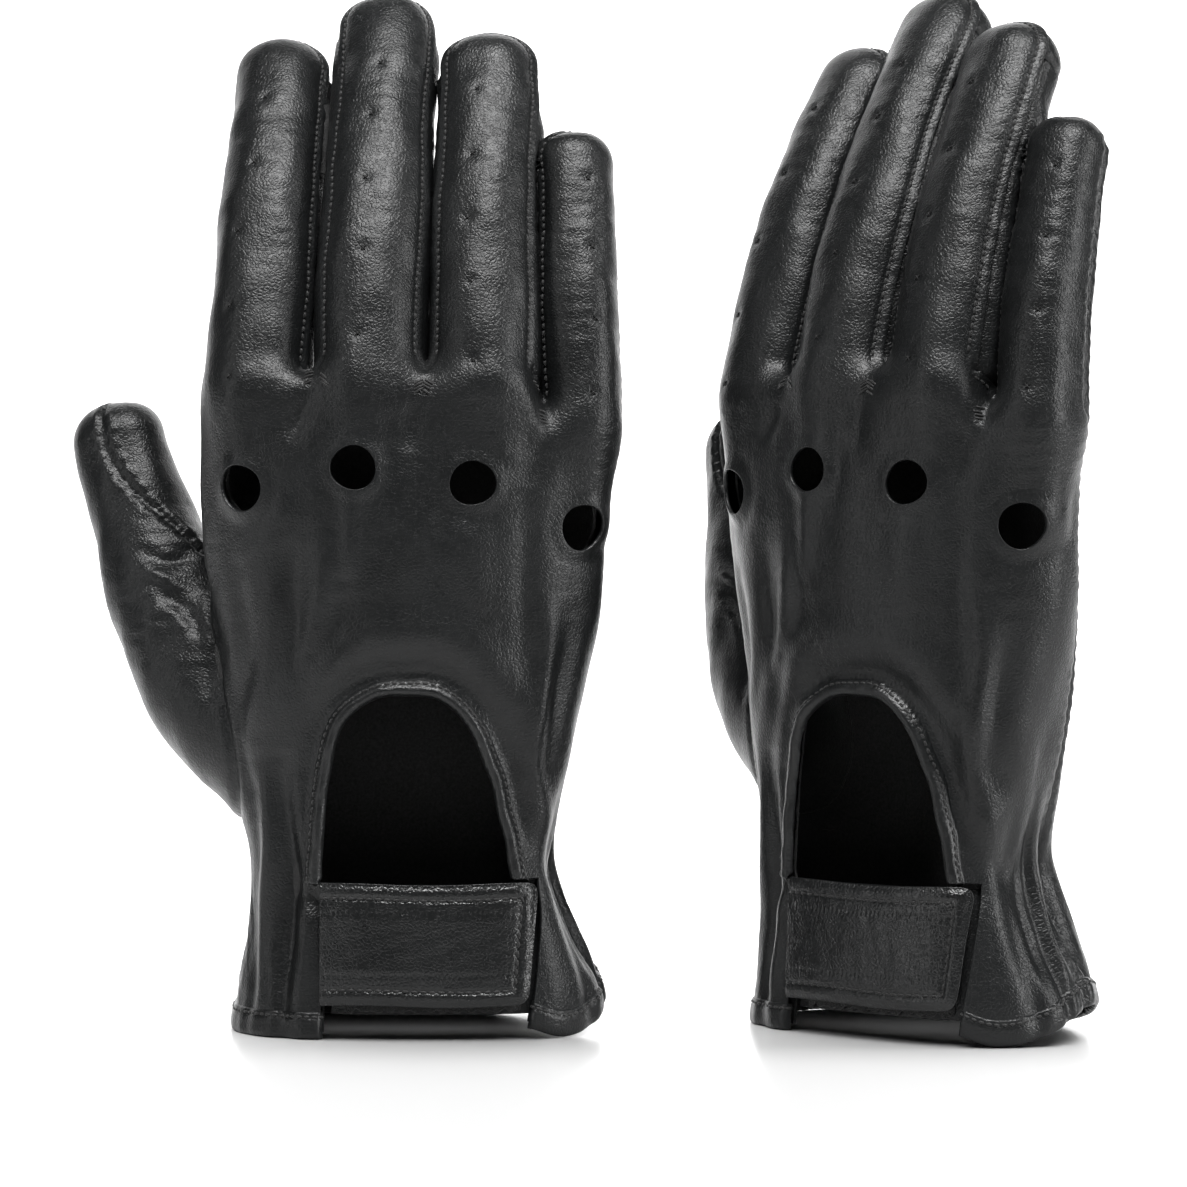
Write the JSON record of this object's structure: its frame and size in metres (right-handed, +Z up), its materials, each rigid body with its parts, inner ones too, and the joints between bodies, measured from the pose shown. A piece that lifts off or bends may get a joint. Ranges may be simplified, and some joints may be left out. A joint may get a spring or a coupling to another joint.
{
  "type": "leather driving gloves",
  "caption": "Short unlined leather driving gloves with knuckle holes, an open back and a hook-and-loop wrist strap, standing upright on their cuffs.",
  "frame": {"origin": "middle of the pair's bounding box, on the plane that the cuffs stand on", "axes": "+Z up to the fingertips, -Y the side that shows the back of the first glove, +X from the first glove to the second"},
  "size_m": [0.2348, 0.1152, 0.2362],
  "materials": {
    "leather": "semi-matt black, fine grain",
    "strap_leather": "satin black, fine grain",
    "binding_leather": "matt black",
    "hook_tape": "black woven tape with moulded hooks",
    "loop_tape": "black fuzzy loop tape",
    "elastic": "black ribbed elastic"
  },
  "bodies": {
    "hand_1": {"back_panel_1": "leather", "palm_panel_1": "leather", "thumb_base_1": "leather", "cuff_hem_1": "binding_leather", "keyhole_binding_1": "binding_leather", "closure_tab_1": "leather", "loop_pad_1": "loop_tape", "wrist_elastic_1": "elastic", "web_gusset_index_middle_1": "leather", "web_gusset_middle_ring_1": "leather", "web_gusset_ring_little_1": "leather"},
    "index_finger_1": {"index_back_1": "leather", "index_palm_1": "leather", "index_fourchette_outer_1": "leather"},
    "middle_finger_1": {"middle_back_1": "leather", "middle_palm_1": "leather", "middle_fourchette_inner_1": "leather", "middle_fourchette_outer_1": "leather"},
    "ring_finger_1": {"ring_back_1": "leather", "ring_palm_1": "leather", "ring_fourchette_inner_1": "leather", "ring_fourchette_outer_1": "leather"},
    "little_finger_1": {"little_back_1": "leather", "little_palm_1": "leather", "little_fourchette_inner_1": "leather"},
    "thumb_1": {"thumb_back_1": "leather", "thumb_palm_1": "leather"},
    "closing_strap_1": {"strap_1": "strap_leather", "hook_pad_1": "hook_tape"},
    "hand_2": {"back_panel_2": "leather", "palm_panel_2": "leather", "thumb_base_2": "leather", "cuff_hem_2": "binding_leather", "keyhole_binding_2": "binding_leather", "closure_tab_2": "leather", "loop_pad_2": "loop_tape", "wrist_elastic_2": "elastic", "web_gusset_index_middle_2": "leather", "web_gusset_middle_ring_2": "leather", "web_gusset_ring_little_2": "leather"},
    "index_finger_2": {"index_back_2": "leather", "index_palm_2": "leather", "index_fourchette_outer_2": "leather"},
    "middle_finger_2": {"middle_back_2": "leather", "middle_palm_2": "leather", "middle_fourchette_inner_2": "leather", "middle_fourchette_outer_2": "leather"},
    "ring_finger_2": {"ring_back_2": "leather", "ring_palm_2": "leather", "ring_fourchette_inner_2": "leather", "ring_fourchette_outer_2": "leather"},
    "little_finger_2": {"little_back_2": "leather", "little_palm_2": "leather", "little_fourchette_inner_2": "leather"},
    "thumb_2": {"thumb_back_2": "leather", "thumb_palm_2": "leather"},
    "closing_strap_2": {"strap_2": "strap_leather", "hook_pad_2": "hook_tape"}
  },
  "joints": [
    {"name": "glove_2_lift", "type": "slide", "parent": "hand_1", "child": "hand_2", "axis": [0, 0, 1], "range_m": [0, 0.3]},
    {"name": "index_curl_1", "type": "hinge", "parent": "hand_1", "child": "index_finger_1", "pos_m": [-0.07264, -0.01406, 0.14452], "axis": [-1, 0, 0], "range_deg": [0, 60]},
    {"name": "middle_curl_1", "type": "hinge", "parent": "hand_1", "child": "middle_finger_1", "pos_m": [-0.04524, -0.01807, 0.14541], "axis": [-1, 0, 0], "range_deg": [0, 60]},
    {"name": "ring_curl_1", "type": "hinge", "parent": "hand_1", "child": "ring_finger_1", "pos_m": [-0.02104, -0.01829, 0.14384], "axis": [-1, 0, 0], "range_deg": [0, 60]},
    {"name": "little_curl_1", "type": "hinge", "parent": "hand_1", "child": "little_finger_1", "pos_m": [0.00096, -0.01418, 0.13769], "axis": [-1, 0, 0], "range_deg": [0, 60]},
    {"name": "thumb_curl_1", "type": "hinge", "parent": "hand_1", "child": "thumb_1", "pos_m": [-0.09187, 0.01124, 0.09216], "axis": [-0.9128, 0, -0.4083], "range_deg": [0, 30]},
    {"name": "strap_peel_1", "type": "hinge", "parent": "hand_1", "child": "closing_strap_1", "pos_m": [-0.05594, -0.04181, 0.0212], "axis": [0, -0.0539, -0.9985], "range_deg": [0, 120]},
    {"name": "index_curl_2", "type": "hinge", "parent": "hand_2", "child": "index_finger_2", "pos_m": [0.05231, 0.0066, 0.14452], "axis": [-0.766, 0.6428, 0], "range_deg": [0, 60]},
    {"name": "middle_curl_2", "type": "hinge", "parent": "hand_2", "child": "middle_finger_2", "pos_m": [0.07072, -0.01409, 0.14541], "axis": [-0.766, 0.6428, 0], "range_deg": [0, 60]},
    {"name": "ring_curl_2", "type": "hinge", "parent": "hand_2", "child": "ring_finger_2", "pos_m": [0.08912, -0.02982, 0.14384], "axis": [-0.766, 0.6428, 0], "range_deg": [0, 60]},
    {"name": "little_curl_2", "type": "hinge", "parent": "hand_2", "child": "little_finger_2", "pos_m": [0.10861, -0.04081, 0.13769], "axis": [-0.766, 0.6428, 0], "range_deg": [0, 60]},
    {"name": "thumb_curl_2", "type": "hinge", "parent": "hand_2", "child": "thumb_2", "pos_m": [0.05384, 0.03834, 0.09216], "axis": [-0.6993, 0.5868, -0.4083], "range_deg": [0, 30]},
    {"name": "strap_peel_2", "type": "hinge", "parent": "hand_2", "child": "closing_strap_2", "pos_m": [0.04727, -0.0254, 0.0212], "axis": [-0.0347, -0.0413, -0.9985], "range_deg": [0, 120]}
  ]
}
